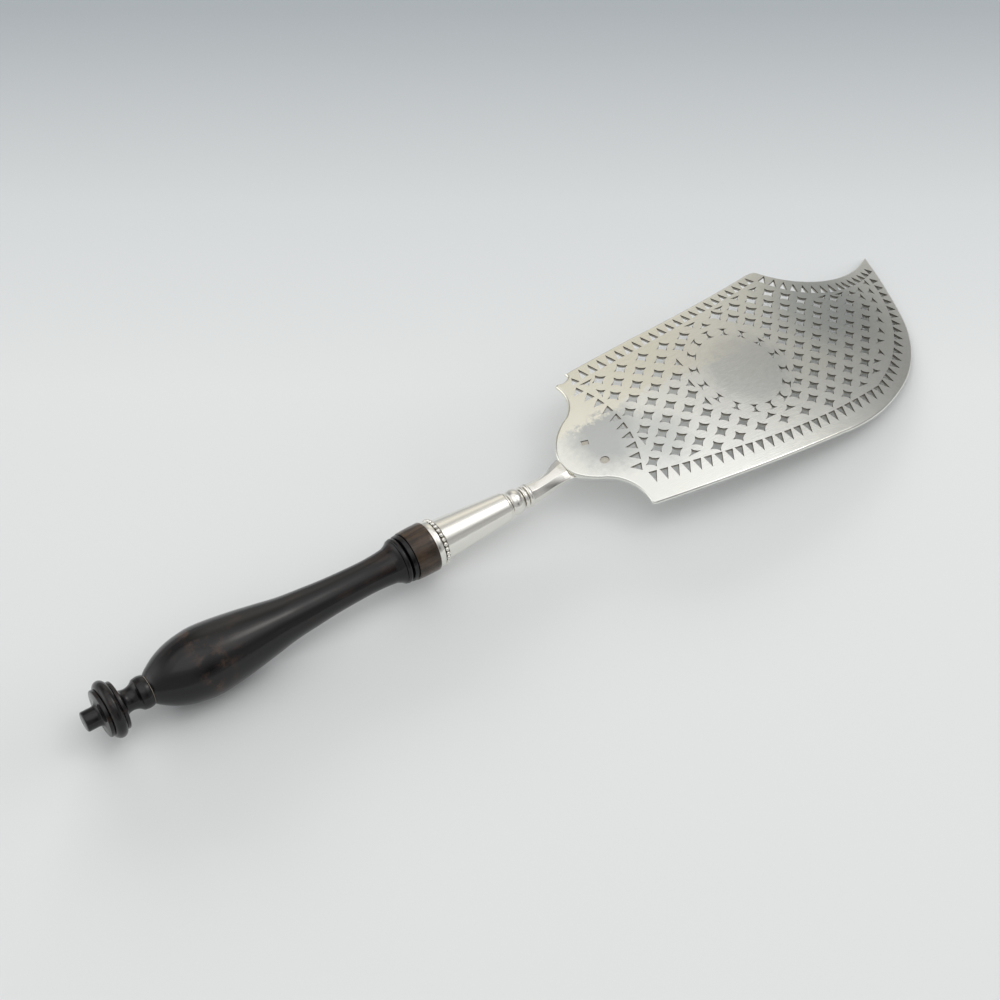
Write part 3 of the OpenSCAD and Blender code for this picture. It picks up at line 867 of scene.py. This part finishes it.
def make_finial():
    """End peg, disc between two fillets, waisted neck and collar."""
    profile = [
        (0, 0), (0, 3.1), (0.08, 3.35), (0.25, 3.58), (0.5, 3.7), (4.2, 3.7),
        *flowing([(4.4, 3.72), (5, 3.9), (5.6, 4.4), (5.95, 5.4)], 4),
        (6, 8.2), (6.1, 8.6), (6.3, 8.78), (7.3, 8.8),
        *bead_profile(7.5, 12.1, 8.4, 16),
        (12.2, 8.9), (13.1, 8.9), (13.4, 8.75), (13.6, 8.3),
        *flowing([(13.7, 6.2), (14.8, 4.6), (16.8, 4.1), (18.8, 4.5), (20.2, 5.45)], 6),
        *flowing([(20.3, 5.6), (20.9, 5.8), (22.5, 6), (24, 5.75), (24.3, 5.55)], 4),
        (24.32, 5.3), (24.6, 5.3), (24.6, 0),
    ]
    return turned("turned_finial", profile)


def dress(piece, material, cad_node):
    """Gives a piece its finish and its body, and puts it in the CAD node's place."""
    if not piece.data.materials:
        piece.data.materials.append(material)
    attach(piece, "root")
    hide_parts(cad_node)


blade, blade_rise = make_blade()
dress(blade, satin, "blade")

ferrule = make_ferrule()
dress(ferrule, bright, "ferrule")
# the groove that the beads sit in
tint_between(ferrule, tarnish, [(140.4, 142.54)])

beads = make_beads()
dress(beads, bright, "bead_wire")

shank = joined([make_knop(), make_stem(), make_lobe_plate()])
shank.name = "shank_casting"
dress(shank, bright, "shank")
# the grooves between the knop's mouldings
tint_between(shank, tarnish, [(171.2, 171.48), (172.72, 173.04), (178.42, 178.68), (180.41, 180.59)])

handle = make_handle()
dress(handle, wood, "handle")
# the band next to the ferrule
tint_between(handle, band_wood, [(129.1, 138)])

finial = make_finial()
dress(finial, wood, "finial")
# the disc with its fillets, and the glue line against the bulb
tint_between(finial, worn_wood, [(6, 13.4)])
tint_between(finial, pale_joint, [(24.31, 24.6)])


# The studio: a pale paper floor, soft cards and a plain grey sky that the silver mirrors.

def make_floor():
    """Pale paper that darkens towards the back, away from the light."""
    bpy.ops.mesh.primitive_grid_add(x_subdivisions=12, y_subdivisions=12, size=6, location=(0, 0, 0))
    floor = keep_as("studio_floor")
    material, tree = new_material("pale_paper_floor")
    where = node(tree, "ShaderNodeTexCoord").outputs["Object"]
    apart = node(tree, "ShaderNodeSeparateXYZ", Vector=where)
    # metres towards the back, along the camera's line of sight
    back = (0.56, 0.83)
    depth = maths(tree, "ADD", maths(tree, "MULTIPLY", apart.outputs["X"], back[0]),
                  maths(tree, "MULTIPLY", apart.outputs["Y"], back[1]))
    # tones from 0.2 m in front of the slice's middle to 0.3 m behind it
    tone = ramp(tree, maths(tree, "ADD", depth, 0.2),
                [(0.06, linear("DCDEDE")), (0.26, linear("DBDDDD")), (0.37, linear("CDD0D1")),
                 (0.51, linear("A2A8AC"))])
    shader = node(tree, "ShaderNodeBsdfPrincipled", {"Roughness": 0.8}, Base_Color=tone.outputs["Color"])
    close(tree, shader)
    floor.data.materials.append(material)


def make_lamp(name, place, size, power):
    """A soft card of light that faces the slice."""
    bpy.ops.object.light_add(type="AREA", location=place)
    lamp = bpy.context.object
    lamp.name = name
    lamp.rotation_euler = (-Vector(place)).to_track_quat("-Z", "Y").to_euler()
    lamp.data.shape = "RECTANGLE"
    lamp.data.size = size[0]
    lamp.data.size_y = size[1]
    lamp.data.energy = power
    lamp.data.color = linear("FCFDFF")[:3]
    lamp.select_set(False)
    return lamp


# what the silver mirrors besides the plain sky: height and turn in degrees, sharpness, colour
mirrored = [
    # a bright opening at the left, a dark patch low down in front, a cream card at the back
    (14, 150, 8, grey(1.7)),
    (22, -84, 40, grey(0.1)),
    (34, 56, 16, (0.98, 0.95, 0.87, 1)),
    # pale cards at the right, and the bright pane between them
    (52, 5, 45, grey(0.8)),
    (59, -8, 50, grey(1.7)),
    (48, -42, 40, grey(1.4)),
    (54, -19, 130, (4.6, 4.5, 4.3, 1)),
]


def make_world():
    """A soft sky, in tones that change with height and with side."""
    world = bpy.data.worlds.new("soft_studio")
    bpy.context.scene.world = world
    world.use_nodes = True
    tree = world.node_tree
    tree.nodes.clear()
    where = node(tree, "ShaderNodeTexCoord").outputs["Generated"]
    apart = node(tree, "ShaderNodeSeparateXYZ", Vector=where)

    def facing(height, turn, sharp):
        """How much a direction faces the one at this height and turn."""
        up, way = radians(height), radians(turn)
        aim = (cos(up) * cos(way), cos(up) * sin(way), sin(up))
        dot = node(tree, "ShaderNodeVectorMath", {"operation": "DOT_PRODUCT", 1: aim}, Vector=where)
        return maths(tree, "POWER", maths(tree, "MAXIMUM", dot.outputs["Value"], 0.0), sharp)

    far = ramp(tree, apart.outputs["Z"], [(0.0, grey(0.45)), (0.30, grey(0.45)), (0.38, grey(0.24)),
                                          (0.60, grey(0.27)), (0.67, grey(0.28)), (0.71, grey(0.27)),
                                          (0.743, grey(0.35)), (0.84, grey(0.88)), (0.906, grey(1.0))])
    near = ramp(tree, apart.outputs["Z"], [(0.0, grey(0.48)), (0.36, grey(0.48)), (0.6, grey(0.47)),
                                           (0.75, grey(0.65)), (0.88, grey(0.95))])
    near_side = ramp(tree, facing(20, 236, 1.5), [(0.02, grey(0)), (0.5, grey(1))])
    sky = blend(tree, near_side.outputs["Color"], far.outputs["Color"], near.outputs["Color"])
    for height, turn, sharp, colour in mirrored:
        sky = blend(tree, facing(height, turn, sharp), sky, colour)
    light = node(tree, "ShaderNodeBackground", {"Strength": 1.0}, Color=sky)
    out = tree.nodes.new("ShaderNodeOutputWorld")
    tree.links.new(light.outputs[0], out.inputs["Surface"])


def make_camera():
    """Looks down at the slice along the photograph's line of sight."""
    turn = radians(55.9194)
    down = radians(49.0054)
    away = 0.7777
    # the point on the table that it aims at: station, and distance across from the handle's axis
    aim_station, aim_across = 178.234, 13.072
    # focal length, in widths of the sensor
    focal = 2.0633
    sight = Vector((cos(down) * cos(turn), cos(down) * sin(turn), -sin(down)))
    target = Vector((peg_end + aim_station * MM, axis_y + aim_across * MM, 0))
    facing = sight.to_track_quat("-Z", "Y").to_euler()
    bpy.ops.object.camera_add(location=target - sight * away, rotation=facing)
    camera = bpy.context.object
    camera.data.sensor_width = 36
    camera.data.lens = camera.data.sensor_width * focal
    bpy.context.scene.camera = camera


make_floor()
make_world()
make_lamp("overhead_softbox", (-0.35, -0.35, 1.3), (1.0, 1.0), 1)
# two wide low cards whose light gets in under the blade; they aren't seen in the silver
for name, place, power in (("far_card", (0.82, 2.26, 0.75), 31), ("right_card", (2.3, -0.5, 0.6), 24)):
    card = make_lamp(name, place, (2.0, 0.6), power)
    card.visible_glossy = False
make_camera()
bpy.context.scene.view_settings.view_transform = "Standard"
